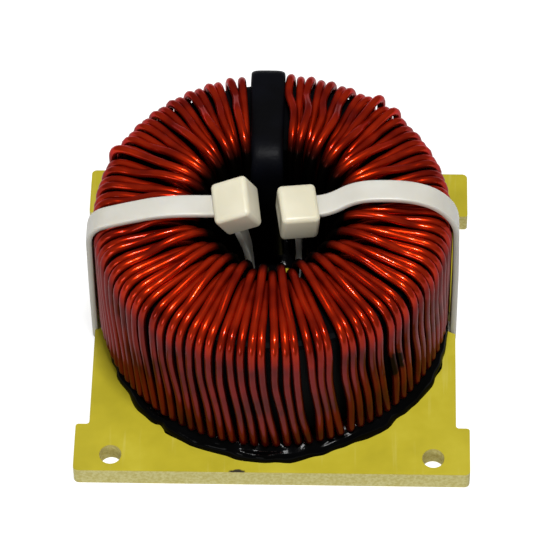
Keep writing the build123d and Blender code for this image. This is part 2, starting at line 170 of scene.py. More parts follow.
# Epoxy laminate, pressed between polished plates and sawn. Pressing gives smooth, satin faces
# with a faint cloudiness from the glass cloth, and handling adds short rubbing marks and a few
# dark specks. Sawing gives paler, rougher edges.
def epoxy_laminate():
    material, tree, place = new_material("pressed_epoxy_laminate")
    cloudy = add_node(tree, "TexNoise", Vector=place, Scale=per_mm(11.0), Detail=3.0,
                      Roughness=0.6)
    face = colour_steps(tree, cloudy.outputs["Fac"],
                        [(0.30, "#AB9E10"), (0.55, "#B8AA1A"), (0.75, "#C1B42A")])
    stretched = add_node(tree, "Mapping", Vector=place, Rotation=rub_direction,
                         Scale=rub_stretch)
    rubbed = add_node(tree, "TexNoise", Vector=stretched.outputs["Vector"], Scale=per_mm(1.1),
                      Detail=2.0)
    streak = add_node(tree, "MapRange", Value=rubbed.outputs["Fac"],
                      From_Min=0.64, From_Max=0.76, To_Min=0.0, To_Max=0.14)
    face = add_node(tree, "MixRGB", Fac=streak.outputs["Result"],
                    Color1=face, Color2=linear_colour("#E4DC86"))
    dots = add_node(tree, "TexVoronoi", Vector=place, Scale=per_mm(5.9), Randomness=1.0)
    speck = add_node(tree, "MapRange", Value=dots.outputs["Distance"],
                     From_Min=0.04, From_Max=0.055, To_Min=0.75, To_Max=0.0)
    chosen = add_node(tree, "SeparateColor", Color=dots.outputs["Color"])
    rare = add_node(tree, "Math", {"operation": "GREATER_THAN"},
                    i0=chosen.outputs["Red"], i1=rare_above)
    speck = add_node(tree, "Math", {"operation": "MULTIPLY"},
                     i0=speck.outputs["Result"], i1=rare.outputs["Value"])
    face = add_node(tree, "MixRGB", Fac=speck.outputs["Value"],
                    Color1=face.outputs["Color"], Color2=linear_colour("#4A4218"))
    for middle, reach, shape in board_dirt:
        face = add_node(tree, "MixRGB", Fac=spot(tree, place, middle, reach, shape),
                        Color1=face.outputs["Color"], Color2=linear_colour("#2E2812"))
    grain = add_node(tree, "TexNoise", Vector=place, Scale=per_mm(0.6), Detail=2.0)
    edge = colour_steps(tree, grain.outputs["Fac"], [(0.35, "#DCCF78"), (0.65, "#F0E79E")])
    facing = add_node(tree, "NewGeometry").outputs["Normal"]
    upright = add_node(tree, "SeparateXYZ", Vector=facing)
    level = add_node(tree, "Math", {"operation": "ABSOLUTE"}, i0=upright.outputs["Z"])
    on_face = add_node(tree, "MapRange", Value=level.outputs["Value"],
                       From_Min=0.5, From_Max=0.8)
    colour = add_node(tree, "MixRGB", Fac=on_face.outputs["Result"],
                      Color1=edge, Color2=face.outputs["Color"])
    rough = add_node(tree, "MapRange", Value=on_face.outputs["Result"],
                     To_Min=0.75, To_Max=0.42)
    bump = add_node(tree, "Bump", Height=grain.outputs["Fac"], Strength=0.12, Distance=0.0001)
    shader = add_node(tree, "BsdfPrincipled", Base_Color=colour.outputs["Color"],
                      Roughness=rough.outputs["Result"], Normal=bump.outputs["Normal"],
                      IOR=1.5)
    finish_material(tree, shader.outputs["BSDF"])
    return material


nodes["base_board"].data.materials.clear()
nodes["base_board"].data.materials.append(epoxy_laminate())

# %% [markdown]
# Magnet wire is drawn copper under a hard, clear varnish, here a red-brown one. The copper
# throws the lamp back and the varnish colours it on the way in and out, so the wire glows
# orange where it faces the lamp and sinks to a dark red elsewhere. A plain red plastic with a
# gloss would look pink and flat there. A mostly metallic surface has the right depth, and its
# own specular level stays low, because a thin clear coat already gives the sharp white glints.
#
# The wire's colour also holds painted light and shade: a brighter red on top stands for the
# lamp's light, and a duller, darker red down the wall for painted shade, mixed by height. In the
# bore the wires are painted nearly black, as painted shade, and one dark smear lies across the
# wires at the right in front.

# %% Red enamelled copper
# Heights, in mm, between which the wall's painted shade turns into the top's painted light
painted_shade_below, painted_light_above = 31.0, 38.0
# The painted shade in the bore: its middle, and the radii and heights between which it fades,
# in mm. The height leans a little, because the painted shade reaches higher in front.
bore_middle = (-0.3, 2.1, 0.0)
bore_shade_within, bore_shade_gone_beyond = 13.8, 17.2
bore_shade_below, bore_shade_gone_above = 39.0, 45.5
leaning_up = (0.0, 0.06, 1.0)
smear_middle, smear_reach, smear_shape = (23.4, -22.6, 21.4), 3.0, (1.0, 1.0, 1.6)


# Copper, drawn and dipped in varnish. Dipping gives a smooth, deep red that mirrors the lamp as
# thin lines along the wire, and its slight ripple breaks those lines up.
def red_enamel():
    material, tree, place = new_material("dipped_red_enamel")
    drift = add_node(tree, "TexNoise", Vector=place, Scale=per_mm(7.0), Detail=2.0)
    # Painted light and shade: the low reds are the shaded wall, the high reds the lit top
    low = colour_steps(tree, drift.outputs["Fac"], [(0.35, "#481006"), (0.60, "#68180A")])
    high = colour_steps(tree, drift.outputs["Fac"], [(0.35, "#801402"), (0.60, "#B42806")])
    rise = add_node(tree, "SeparateXYZ", Vector=place).outputs["Z"]
    painted_top_light = add_node(tree, "MapRange", Value=rise,
                      From_Min=painted_shade_below * MM, From_Max=painted_light_above * MM)
    colour = add_node(tree, "MixRGB", Fac=painted_top_light.outputs["Result"], Color1=low, Color2=high)
    # Painted shade: the wires inside the bore fade to nearly black
    middle = add_node(tree, "VectorMath", {"operation": "SUBTRACT"},
                      i0=place, i1=in_metres(bore_middle))
    level = add_node(tree, "VectorMath", {"operation": "MULTIPLY"},
                     i0=middle.outputs["Vector"], i1=(1.0, 1.0, 0.0))
    radius = add_node(tree, "VectorMath", {"operation": "LENGTH"}, i0=level.outputs["Vector"])
    inside = add_node(tree, "MapRange", Value=radius.outputs["Value"],
                      From_Min=bore_shade_within * MM, From_Max=bore_shade_gone_beyond * MM,
                      To_Min=1.0, To_Max=0.0)
    height = add_node(tree, "VectorMath", {"operation": "DOT_PRODUCT"},
                      i0=place, i1=leaning_up)
    deep = add_node(tree, "MapRange", Value=height.outputs["Value"],
                    From_Min=bore_shade_below * MM, From_Max=bore_shade_gone_above * MM,
                    To_Min=1.0, To_Max=0.0)
    dark = add_node(tree, "Math", {"operation": "MULTIPLY"},
                    i0=inside.outputs["Result"], i1=deep.outputs["Result"])
    smear = spot(tree, place, smear_middle, smear_reach, smear_shape)
    # The painted shade of the bore, joined with the dark smear
    bore_shade_and_smear = add_node(tree, "Math", {"operation": "MAXIMUM"},
                       i0=dark.outputs["Value"], i1=smear)
    shown = add_node(tree, "MixRGB", Fac=bore_shade_and_smear.outputs["Value"],
                     Color1=colour.outputs["Color"], Color2=linear_colour("#0C0806"))
    ripple = add_node(tree, "TexNoise", Vector=place, Scale=per_mm(1.4), Detail=1.0)
    bump = add_node(tree, "Bump", Height=ripple.outputs["Fac"], Strength=0.08, Distance=0.0002)
    gloss = add_node(tree, "MapRange", Value=bore_shade_and_smear.outputs["Value"],
                     To_Min=0.18, To_Max=0.02)
    shader = add_node(tree, "BsdfPrincipled", Base_Color=shown.outputs["Color"],
                      Metallic=0.74, Roughness=0.28, Normal=bump.outputs["Normal"],
                      Specular_IOR_Level=0.05, Specular_Tint=linear_colour("#C0401A"),
                      Coat_Weight=gloss.outputs["Result"], Coat_Roughness=0.05, Coat_IOR=1.5)
    finish_material(tree, shader.outputs["BSDF"])
    return material


enamel = red_enamel()
print("enamel nodes:", len(enamel.node_tree.nodes))

# %% [markdown]
# The other finishes differ only in colour, gloss and the size of their grain, so one function
# makes them. Each has a slight drift of colour, because nothing real is one flat value, and a
# fine relief that breaks up its highlight. On the black ones the specular level is low: at
# the usual one they would look grey under the lamp.


# %% Sleeve, tape, glue, solder and powder
def plain_finish(name, low_hex, high_hex, roughness, grain_mm, bump_strength, gloss=0.5,
                 metallic=0.0):
    """A finish with a slight drift of colour and a fine relief of the given grain."""
    material, tree, place = new_material(name)
    drift = add_node(tree, "TexNoise", Vector=place, Scale=per_mm(8.0), Detail=2.0)
    colour = colour_steps(tree, drift.outputs["Fac"], [(0.35, low_hex), (0.65, high_hex)])
    grain = add_node(tree, "TexNoise", Vector=place, Scale=per_mm(grain_mm), Detail=2.0)
    bump = add_node(tree, "Bump", Height=grain.outputs["Fac"], Strength=bump_strength,
                    Distance=0.0002)
    shader = add_node(tree, "BsdfPrincipled", Base_Color=colour, Roughness=roughness,
                      Metallic=metallic, Normal=bump.outputs["Normal"],
                      Specular_IOR_Level=gloss)
    finish_material(tree, shader.outputs["BSDF"])
    return material


# Polyolefin, extruded and shrunk by heat: an even, satin black with soft edges to its light
sleeve_black = plain_finish("shrunk_polyolefin", "#040406", "#08090F", 0.45, 0.8, 0.20,
                            gloss=0.06)
# Polyester film, wound by hand: black, with wide wrinkles that barely show
tape_black = plain_finish("wound_film_tape", "#030304", "#07070A", 0.55, 2.5, 0.35, gloss=0.03)
# Epoxy glue, poured and set where it ran: it looks wet, with small, sharp glints
# The same black also lies over the bore's floor as a sheet of painted shade
glue_and_shade_black = plain_finish("poured_epoxy_glue_and_bore_shade", "#020202", "#040405", 0.13, 1.6, 0.25,
                          gloss=0.035)
# Tin solder, left by dipping: a soft, grey mirror
solder = plain_finish("dipped_solder", "#A9A9A4", "#C9C9C4", 0.35, 0.5, 0.2, metallic=1.0)
# Iron alloy powder, pressed and sealed: dull, dark grey and grainy
powder = plain_finish("pressed_powder", "#26262A", "#35353A", 0.75, 0.25, 0.3)
print("plain finishes:", [made.name for made in (sleeve_black, tape_black, glue_and_shade_black, solder,
                                                 powder)])

# %% [markdown]
# Natural nylon is milky. Light goes a little way in and comes out beside where it entered, so
# its edges look soft and its shadows are filled. Subsurface scattering does that. A strap is
# thinner than a head and lets more of the dark wires under it show; that is painted shade here,
# given as a greyer white in the strap's colour.


# %% Nylon of the ties
# Nylon 6.6, moulded or drawn: a satin, slightly warm white that glows at its edges
def tie_nylon(name, low_hex, high_hex):
    material, tree, place = new_material(name)
    drift = add_node(tree, "TexNoise", Vector=place, Scale=per_mm(9.0), Detail=2.0)
    colour = colour_steps(tree, drift.outputs["Fac"], [(0.35, low_hex), (0.65, high_hex)])
    grain = add_node(tree, "TexNoise", Vector=place, Scale=per_mm(0.7), Detail=2.0)
    bump = add_node(tree, "Bump", Height=grain.outputs["Fac"], Strength=0.06, Distance=0.0001)
    shader = add_node(tree, "BsdfPrincipled", Base_Color=colour, Roughness=0.38,
                      Normal=bump.outputs["Normal"], IOR=1.53, Subsurface_Weight=0.25,
                      Subsurface_Scale=0.002, Subsurface_Radius=(1.0, 0.8, 0.5))
    finish_material(tree, shader.outputs["BSDF"])
    return material


head_nylon = tie_nylon("moulded_nylon", "#D5CFB6", "#DFD9C2")
# The straps' greyer white is painted shade: the dark wires seen through the thin nylon
shaded_strap_nylon = tie_nylon("drawn_nylon_painted_shade", "#CAC7BC", "#D3D1C8")

finishes = {
    "core_ring_lower": powder, "core_ring_upper": powder, "core_tape": tape_black,
    "start_sleeve": sleeve_black,
    "start_tips": solder, "finish_tips": solder, "start_lead": enamel,
}
for node_name, material in finishes.items():
    nodes[node_name].data.materials.clear()
    nodes[node_name].data.materials.append(material)
print("finished CAD nodes:", len(finishes) + 1)

# %% [markdown]
# The winding is wound on the taped ring, so its sizes follow from the ring's box in the frame.
# Two wires run side by side. Each turn comes in under the ring, goes up the bore, over the
# top and down the wall. There is no room in the bore for all the turns side by side, so they
# lie there in three layers, and the deeper a turn lies in the bore, the higher it crosses the
# top. The numbers below repeat those of the CAD source, in millimetres and degrees.

# %% The winding's sizes
tape_low, tape_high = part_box("core_tape")
centre_x = (tape_low[0] + tape_high[0]) / 2 / MM
centre_y = (tape_low[1] + tape_high[1]) / 2 / MM
tape_outer_r = (tape_high[0] - tape_low[0]) / 2 / MM
tape_top_z = tape_high[2] / MM
board_top_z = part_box("base_board")[1][2] / MM
core_bore_d = 32.6
tape_thickness = 0.3

wire_d = 1.6
wire_r = wire_d / 2
turn_count = 96
turns_in_piece = 8
strands = 2
# How many turns further along the ring a turn's foot stands than the top it comes from
turn_lean = 1.0
layer_step = 1.45
# The layer in the bore for each of four turns that repeat; 0 lies on the ring
bore_layers = (0, 2, 0, 1)
# How far the wires stay clear of the board, the top, the wall and the bore of the ring
board_gap, top_gap, wall_gap, bore_gap = 0.1, 1.0, 1.1, 0.4
low_first_z = board_top_z + board_gap + wire_r + layer_step
top_first_z = tape_top_z + wire_r + top_gap
wall_r = tape_outer_r + wire_r + wall_gap
bore_first_r = core_bore_d / 2 - tape_thickness - wire_r - bore_gap
# Where an outer turn dips under the rim of the bore, and where its ramp begins on the top
rim_step = 2.2
rim_r = bore_first_r + rim_step
ramp_r = 22.0
# Where the winding leaves the ring free for its ends, at the back, and how wide that is
wall_free_at, wall_free_angle = 94.0, 18.2
bore_free_at, bore_free_angle = 93.0, 34.4
print("wall radius", round(wall_r, 2), "bore radius", round(bore_first_r, 2),
      "top", round(top_first_z, 2))

# %% [markdown]
# No wire lies quite where the sum says. A steady pseudo-random number for each turn, made from
# its place in the row, moves it a little aside on the wall and on the top, so that some wires
# touch and dark gaps open between others. Larger moves, seen on the real part, are listed.

# %% How far each turn strays
# Turns that stand up at the shoulder, with how far, in millimetres
raised = {15: 1.6, 84: 1.3, 86: 1.7}
# Places between turns where the winding has opened, with the extra width, in millimetres. A
# negative width draws the turns together.
open_places = (
    (-0.5, -2.4), (34.0, 0.9), (46.5, 0.7), (49.5, 1.5), (52.6, 1.6), (57.9, 1.3), (60.7, 1.2),
)
# The share of that push that each next turn still feels
push_kept = 0.55
# How far the layers have sunk into each other in front, in millimetres a layer
front_sink = 0.9
# How far chance moves a turn aside, in millimetres
wall_stray, top_stray, shoulder_stray = 0.38, 0.40, 0.30


def stray(index, channel):
    """A steady number from about -1 to 1 for a turn, another one for each channel."""
    # The odd factors keep the samples off the whole numbers, where this noise is always 0
    return noise.noise(Vector((index * 1.731 + 0.37, channel * 5.17, 0.61))) * 1.6


def opened(index):
    """How far a turn is pushed aside by the open places in the winding."""
    push = 0.0
    for place, width in open_places:
        away = index - place
        push += width / 2 * (1 if away > 0 else -1) * push_kept ** abs(away)
    return push


print("the widest opening adds", max(width for place, width in open_places), "mm")

# %% [markdown]
# A turn is drawn as a pen would draw it: a few corners, each with how much of it is rounded
# off. The corners lie on the ring by angle, radius and height, which is how a winder thinks of
# them. A turn in an outer layer has more of them: it dips under the rim of the bore, and over
# the top it runs down a ramp between its neighbours before it reaches the shoulder.

# %% Places on the ring
# How much of each corner is rounded off, in millimetres
foot_cut, rim_cut, under_cut, bore_cut = 1.3, 1.2, 2.2, 8.0
ramp_cut, landing_cut, shoulder_cut, wall_cut = 2.0, 1.5, 5.4, 3.0
# How far inside the shoulder's curve the ramp lands on the top
landing_step = 0.6
# Heights of the two corners on the wall, and how far the lower one is from the top to the foot
low_wall_z, high_wall_z = 16.0, 26.0
low_share = 0.62
# The share of an opening in the wall that shows on the top
top_opening = 0.5


def turn_angle(index, middle, free_angle):
    return middle + free_angle / 2 + index * (360 - free_angle) / (turn_count - 1)


def wall_angle(index):
    return turn_angle(index, wall_free_at, wall_free_angle)


def bore_angle(index):
    return turn_angle(index, bore_free_at, bore_free_angle)


def on_ring(angle, radius, height):
    """A point by its angle round the core, its radius and its height, in metres."""
    x = centre_x + radius * cos(radians(angle))
    y = centre_y + radius * sin(radians(angle))
    return Vector((x, y, height)) * MM


def aside(angle, radius, distance):
    """The angle moved along the ring by a distance in millimetres."""
    return angle + distance / radius * 180 / pi


print("one turn takes", round(wall_angle(1) - wall_angle(0), 2), "degrees of the wall and",
      round(bore_angle(1) - bore_angle(0), 2), "of the bore")


# %% The route of one turn
def foot_angle(index):
    """The angle at which a turn starts, at the foot of the wall."""
    return wall_angle(index - strands + turn_lean)


def low_wall(index):
    """The lower corner on the wall, on the run that leads down into a turn."""
    top = wall_angle(index - strands)
    moved = wall_stray * stray(index - strands, 1) + opened(index - strands)
    low = aside(top + low_share * (foot_angle(index) - top), wall_r, moved)
    return on_ring(low, wall_r, low_wall_z)


def turn_corners(index):
    """The corners of one turn, each with how much of it is rounded off."""
    layer = bore_layers[index % len(bore_layers)]
    lift = raised.get(index, 0.0)
    inside = bore_angle(index)
    outside = wall_angle(index)
    bore_r = bore_first_r - layer * layer_step
    low_z = low_first_z - min(layer, 1) * layer_step
    frontness = max(0.0, -sin(radians(outside)))
    top_z = top_first_z + layer * (layer_step - front_sink * frontness) + lift
    corners = [(on_ring(foot_angle(index), wall_r, low_first_z), foot_cut)]
    if layer:
        corners.append((on_ring(inside, rim_r, low_z), rim_cut))
    corners.append((on_ring(inside, bore_r, low_z), under_cut))
    corners.append((on_ring(inside, bore_r, top_z), bore_cut))
    shoulder = aside(outside, wall_r, shoulder_stray * stray(index, 3) + opened(index))
    if layer:
        across = top_stray * stray(index, 2) + top_opening * opened(index)
        share = (ramp_r - rim_r) / (wall_r - shoulder_cut - rim_r)
        ramp = aside(inside + share * (outside - inside), ramp_r, across)
        corners.append((on_ring(ramp, ramp_r, top_z), ramp_cut))
        landing_r = wall_r - shoulder_cut - landing_step
        corners.append((on_ring(shoulder, landing_r, top_first_z + lift), landing_cut))
    corners.append((on_ring(shoulder, wall_r, top_first_z + lift), shoulder_cut - lift))
    high = aside(outside, wall_r, wall_stray * stray(index, 4) + opened(index))
    corners.append((on_ring(high, wall_r, high_wall_z), wall_cut))
    return corners


def rounded(corners, steps=6, most=0.66):
    """A smooth run of points; a corner's curve takes at most the given share of a side."""
    points = [corners[0][0]]
    for before, here, after in zip(corners, corners[1:], corners[2:]):
        corner, cut = here
        back = before[0] - corner
        ahead = after[0] - corner
        start = corner + back.normalized() * min(cut * MM, back.length * most)
        end = corner + ahead.normalized() * min(cut * MM, ahead.length * most)
        for step in range(steps + 1):
            t = step / steps
            points.append(start * (1 - t) ** 2 + corner * 2 * t * (1 - t) + end * t ** 2)
    points.append(corners[-1][0])
    return points


print("corners of four turns:", [len(turn_corners(index)) for index in range(4)])

# %% [markdown]
# A wire is best drawn as a curve with a round bevel: the curve keeps the section round
# whatever way it bends. The curve is then turned into a mesh, since the finished part is a set
# of meshes. The two strands of a group of eight turns become one piece, cut in the middle of
# the wall as in the CAD model, and the piece replaces the CAD solids.


# %% Draw the winding
def wire_mesh(name, runs, radius, sides=12):
    """One mesh made of round wires along the given runs of points."""
    curve = bpy.data.curves.new(name + "_route", "CURVE")
    curve.dimensions = "3D"
    curve.bevel_depth = radius
    curve.bevel_resolution = (sides - 4) // 2
    curve.use_fill_caps = True
    for run in runs:
        spline = curve.splines.new("POLY")
        spline.points.add(len(run) - 1)
        for knot, point in zip(spline.points, run):
            knot.co = (*point, 1.0)
        spline.use_smooth = True
    drawn = bpy.data.objects.new(name + "_route", curve)
    bpy.context.scene.collection.objects.link(drawn)
    bpy.context.view_layer.update()
    depsgraph = bpy.context.evaluated_depsgraph_get()
    shape = bpy.data.meshes.new_from_object(drawn.evaluated_get(depsgraph))
    bpy.data.objects.remove(drawn)
    shape.name = name
    return shape


def add_piece(name, shape, material, replaced):
    """A visible piece with one finish, in place of the named CAD nodes."""
    piece = bpy.data.objects.new(name, shape)
    bpy.context.scene.collection.objects.link(piece)
    shape.materials.clear()
    shape.materials.append(material)
    for face in shape.polygons:
        face.use_smooth = True
    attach(piece, "root")
    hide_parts(*replaced)
    return piece


def wall_break(index):
    """The middle of the straight part of the wall run before a turn."""
    high = turn_corners(index - strands)[-1][0]
    return (high + low_wall(index)) / 2


def strand_run(start):
    """The run of one strand through a group of turns; the very first starts at its foot."""
    corners = [(wall_break(start), 0.0)] if start >= strands else []
    for index in range(start, start + turns_in_piece, strands):
        if index >= strands:
            corners.append((low_wall(index), wall_cut))
        corners += turn_corners(index)
    corners.append((wall_break(start + turns_in_piece), 0.0))
    return rounded(corners)


for group in range(turn_count // turns_in_piece):
    first = group * turns_in_piece
    name = f"winding_wire_{group + 1:02d}"
    runs = [strand_run(first + strand) for strand in range(strands)]
    shape = wire_mesh(name, runs, wire_r * MM)
    add_piece(name, shape, enamel, [f"winding_turns_{group + 1:02d}"])
print("winding pieces:", turn_count // turns_in_piece, "faces in the last:",
      len(shape.polygons))

# %% [markdown]
# The glue, the straps and the sleeve are all long soft solids with a section that changes on
# the way. A flat grid from one operator becomes each of them: a function says where the point
# goes for a step along the solid and a step round its section, and the seams are merged. A ring
# closes on itself, while a strap has two open ends that are filled.


# %% Wrap a grid round a section
def span(piece):
    """The lowest and highest corner of a piece, in millimetres."""
    corners = [vert.co for vert in piece.data.vertices]
    low = tuple(round(min(corner[axis] for corner in corners) / MM, 1) for axis in range(3))
    high = tuple(round(max(corner[axis] for corner in corners) / MM, 1) for axis in range(3))
    return low, high


def wrapped(name, around, across, place, material, replaced, closed=True):
    """A smooth solid: place(i, j) gives the point for step i along it and step j round it."""
    shaper = bmesh.new()
    bmesh.ops.create_grid(shaper, x_segments=around, y_segments=across, size=0.5)
    for vert in shaper.verts:
        along = round((vert.co.x + 0.5) * around)
        part = round((vert.co.y + 0.5) * across)
        vert.co = place(along, part)
    bmesh.ops.remove_doubles(shaper, verts=shaper.verts, dist=1e-6)
    if not closed:
        rims = [edge for edge in shaper.edges if edge.is_boundary]
        bmesh.ops.holes_fill(shaper, edges=rims, sides=0)
    bmesh.ops.recalc_face_normals(shaper, faces=shaper.faces)
    shape = bpy.data.meshes.new(name)
    shaper.to_mesh(shape)
    shaper.free()
    return add_piece(name, shape, material, replaced)


# %% [markdown]
# The glue was poured round the foot of the winding and set where it ran, so its edge wanders.
# Sculpting would do it, but couldn't be repeated. Here a few points round the board give the
# outline, a few more give the section, and two noises, one wide and one narrow, add the lumps
# of a poured edge.

# %% Glue bead
# The bead's outer edge: degrees round the ring, and the radius in millimetres
bead_edge = (
    (-180.0, 33.3), (-155.0, 33.4), (-150.0, 34.2), (-144.0, 34.0), (-138.0, 35.0),
    (-130.0, 35.2), (-127.0, 34.6), (-124.0, 35.4), (-108.0, 35.2), (-97.0, 35.7),
    (-84.0, 35.7), (-76.0, 35.2), (-66.0, 34.7), (-52.0, 35.5), (-46.0, 34.9), (-33.0, 35.5),
    (-26.0, 35.1), (-12.0, 34.3), (0.0, 33.6), (20.0, 33.8), (50.0, 35.2), (85.0, 35.0),
    (120.0, 35.4), (160.0, 34.2), (180.0, 33.3),
)
bead_steps = 240
# Its section: millimetres in from the edge, and the share of the height
bead_section = (
    (0.0, 0.0), (0.10, 0.45), (0.45, 0.80), (1.0, 0.95), (1.7, 1.0), (2.6, 1.45), (4.4, 1.2),
    (4.4, 0.0),
)
bead_height = 1.9
# The outer skin ends this far in, where the bead goes under the wires
skin_depth = 2.0
# The lumps: their share of the height, and how far they and the ripples move the edge
lump_rise, lump_push, ripple_push = 0.35, 0.25, 0.30
lump_count, ripple_count = 9.0, 14.0
# How much the lumps change from one step of the section to the next
lump_shift = 0.4


def bead_radius(angle):
    """The edge of the bead at an angle, easing from each of its points to the next."""
    for (before, low), (after, high) in zip(bead_edge, bead_edge[1:]):
        if angle <= after:
            share = (angle - before) / (after - before)
            eased = share * share * (3 - 2 * share)
            return low + (high - low) * eased
    return bead_edge[-1][1]


def bead_point(step, part):
    angle = -180.0 + 360.0 * (step % bead_steps) / bead_steps
    inward, rise = bead_section[part % len(bead_section)]
    way = Vector((cos(radians(angle)), sin(radians(angle)), 0.0))
    lump = noise.noise(way * lump_count + Vector((0.0, 0.0, lump_shift * part)))
    edge = bead_radius(angle) + ripple_push * noise.noise(way * ripple_count) - inward
    edge += lump_push * lump * (1 if inward < skin_depth else 0)
    height = bead_height * rise * (1.0 + lump_rise * lump)
    return on_ring(angle, edge, board_top_z + max(0.0, height))


bead = wrapped("glue_bead_poured", bead_steps, len(bead_section), bead_point, glue_and_shade_black,
               ["glue_bead"])
print("bead spans", span(bead), "mm")

# %% [markdown]
# The board in the bore is covered with painted shade: a black sheet in the glue's finish, but
# for one small bare spot. The sheet is wrapped too, from the edge of that spot out to the foot of
# the wires, where it climbs a little.

# %% Painted shade sheet in the bore
shade_sheet_r = 16.6
shade_sheet_steps = 72
bare_spot = (1.9, 11.2)
bare_r = 0.8
# The section: the share of the way from the bare spot to the rim, and the height in millimetres
shade_sheet_section = (
    (0.0, 0.0), (0.0, 0.6), (0.03, 0.85), (0.70, 0.9), (0.80, 1.8), (1.0, 1.8), (1.0, 0.0),
)


def shade_sheet_point(step, part):
    angle = 360.0 * (step % shade_sheet_steps) / shade_sheet_steps
    share, rise = shade_sheet_section[part % len(shade_sheet_section)]
    way = Vector((cos(radians(angle)), sin(radians(angle)), 0.0))
    inner = (Vector((*bare_spot, board_top_z + rise)) + bare_r * way) * MM
    return inner.lerp(on_ring(angle, shade_sheet_r, board_top_z + rise), share)


# A black sheet of painted shade over the board in the bore
shade_sheet = wrapped("bore_shade_sheet", shade_sheet_steps, len(shade_sheet_section), shade_sheet_point,
                 glue_and_shade_black, ["glue_puddle"])
print("puddle spans", span(shade_sheet), "mm")

# %% [markdown]
# The ties are nylon straps 4.6 mm wide with a moulded head. Pulled tight over the wires, a strap
# bends smoothly and slides a little aside where it likes, so each follows a route of its own
# from its head over the winding, through the notch, under the board and up the bore. A strap's
# section is a rounded rectangle. A curve with a flat bevel could twist at the bends, so a
# ribbon is wrapped instead, with its width held along one direction.

# %% Straps of the ties
strap_size = (4.6, 1.2)
# The power that squares the round section: 1 is an ellipse, near 0 a sharp rectangle
strap_squareness = 0.28
section_steps = 28
ribbon_steps, ribbon_most = 10, 0.48
# A ribbon with a flare widens from this radius on, over this much, in millimetres
flare_from_r = 18.0
flare_run = 9.0
tie_y = -0.4
groove_z = 0.65
# Points of each strap from its head round to the head again, each with its rounding
left_route = (
    ((-8.9, -1.5, 41.85), 0.0), ((-20.0, -1.6, 41.9), 6.0), ((-28.3, -1.6, 39.2), 3.5),
    ((-34.6, -1.4, 36.4), 4.5), ((-34.9, -0.6, 20.0), 5.0), ((-35.0, tie_y, groove_z), 1.2),
    ((-4.3, tie_y, groove_z), 1.5), ((-4.3, tie_y, 18.0), 6.0), ((-4.9, -1.2, 29.5), 3.0),
    ((-7.4, -1.2, 39.0), 0.0),
)
right_route = (
    ((6.2, 0.2, 39.7), 0.0), ((10.2, 0.4, 40.0), 2.5), ((15.5, 2.1, 42.2), 3.5),
    ((24.5, 2.3, 42.3), 4.5), ((30.4, 2.0, 40.4), 3.0), ((34.2, 1.6, 35.6), 3.5),
    ((34.5, 0.8, 22.0), 5.0), ((34.5, tie_y, groove_z), 1.2), ((3.7, tie_y, groove_z), 1.5),
    ((3.7, tie_y, 14.0), 6.0), ((4.9, -0.2, 25.0), 6.0), ((4.4, 0.0, 38.0), 0.0),
)


def ribbon(name, route, across, size, finish, replaced, squareness, flare=0.0):
    """A ribbon along a route, its width along the given direction; a flare widens it outwards."""
    corners = [(Vector(point) * MM, cut) for point, cut in route]
    points = rounded(corners, ribbon_steps, ribbon_most)
    last = len(points) - 1
    axis = Vector((centre_x, centre_y)) * MM

    def place(step, part):
        ahead = points[min(step + 1, last)] - points[max(step - 1, 0)]
        out = ahead.cross(across).normalized()
        wide = out.cross(ahead).normalized()
        outwards = ((points[step].xy - axis).length / MM - flare_from_r) / flare_run
        width = size[0] + flare * max(0.0, min(1.0, outwards))
        turn = 2 * pi * (part % section_steps) / section_steps
        x, y = cos(turn), sin(turn)
        x = (abs(x) ** squareness) * (1 if x > 0 else -1)
        y = (abs(y) ** squareness) * (1 if y > 0 else -1)
        return points[step] + (wide * width / 2 * x + out * size[1] / 2 * y) * MM

    return wrapped(name, last, section_steps, place, finish, replaced, closed=False)


def strap(name, route, replaced):
    return ribbon(name, route, Vector((0.0, 1.0, 0.0)), strap_size, shaded_strap_nylon, replaced,
                  strap_squareness)


left_strap = strap("tie_strap_left", left_route, ["cable_tie_left"])
right_strap = strap("tie_strap_right", right_route, ["cable_tie_right"])
print("straps span", span(left_strap), span(right_strap), "mm")

# %% [markdown]
# The sleeve at the back is a soft tube over the two finish leads, pressed flat where it comes
# up the bore and lies over the winding. It is a ribbon too, with a rounder section, and a
# little wider where it bends over the shoulder.

# %% Sleeve of the finish leads
sleeve_size = (6.2, 2.3)
sleeve_flare = 0.4
sleeve_squareness = 0.50
# Angles and radii of the leads' way: up the bore, over the shoulder and down the wall
bore_way, shoulder_way, wall_way = (97.0, 10.6), (92.6, 31.9), (93.0, 35.2)
# The sleeve's rise towards the shoulder, and how much of its bends is rounded off
sleeve_rise = 0.3
over_cut, edge_cut, down_cut = 5.0, 1.4, 8.0
sleeve_top_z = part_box("finish_sleeve")[1][2] / MM - sleeve_size[1] / 2
sleeve_low_z, bend_z, sleeve_end_z = 9.2, 29.0, 15.0
sleeve_route = (
    (on_ring(*bore_way, sleeve_low_z) / MM, 0.0),
    (on_ring(*bore_way, sleeve_top_z) / MM, over_cut),
    (on_ring(*shoulder_way, sleeve_top_z + sleeve_rise) / MM, edge_cut),
    (on_ring(*wall_way, bend_z) / MM, down_cut),
    (on_ring(*wall_way, sleeve_end_z) / MM, 0.0),
)
sleeve = ribbon("lead_sleeve_soft", sleeve_route, Vector((1.0, 0.0, 0.0)), sleeve_size,
                sleeve_black, ["finish_sleeve"], sleeve_squareness,
                sleeve_flare)
print("sleeve spans", span(sleeve), "mm")

# %% [markdown]
# The ends of the two wires run inside that sleeve. They come off the last turns, go under the
# ring and up the bore, and follow the same way as the sleeve, side by side, so they are drawn
# with the functions of the winding. They show below the sleeve, between its end and their tips.

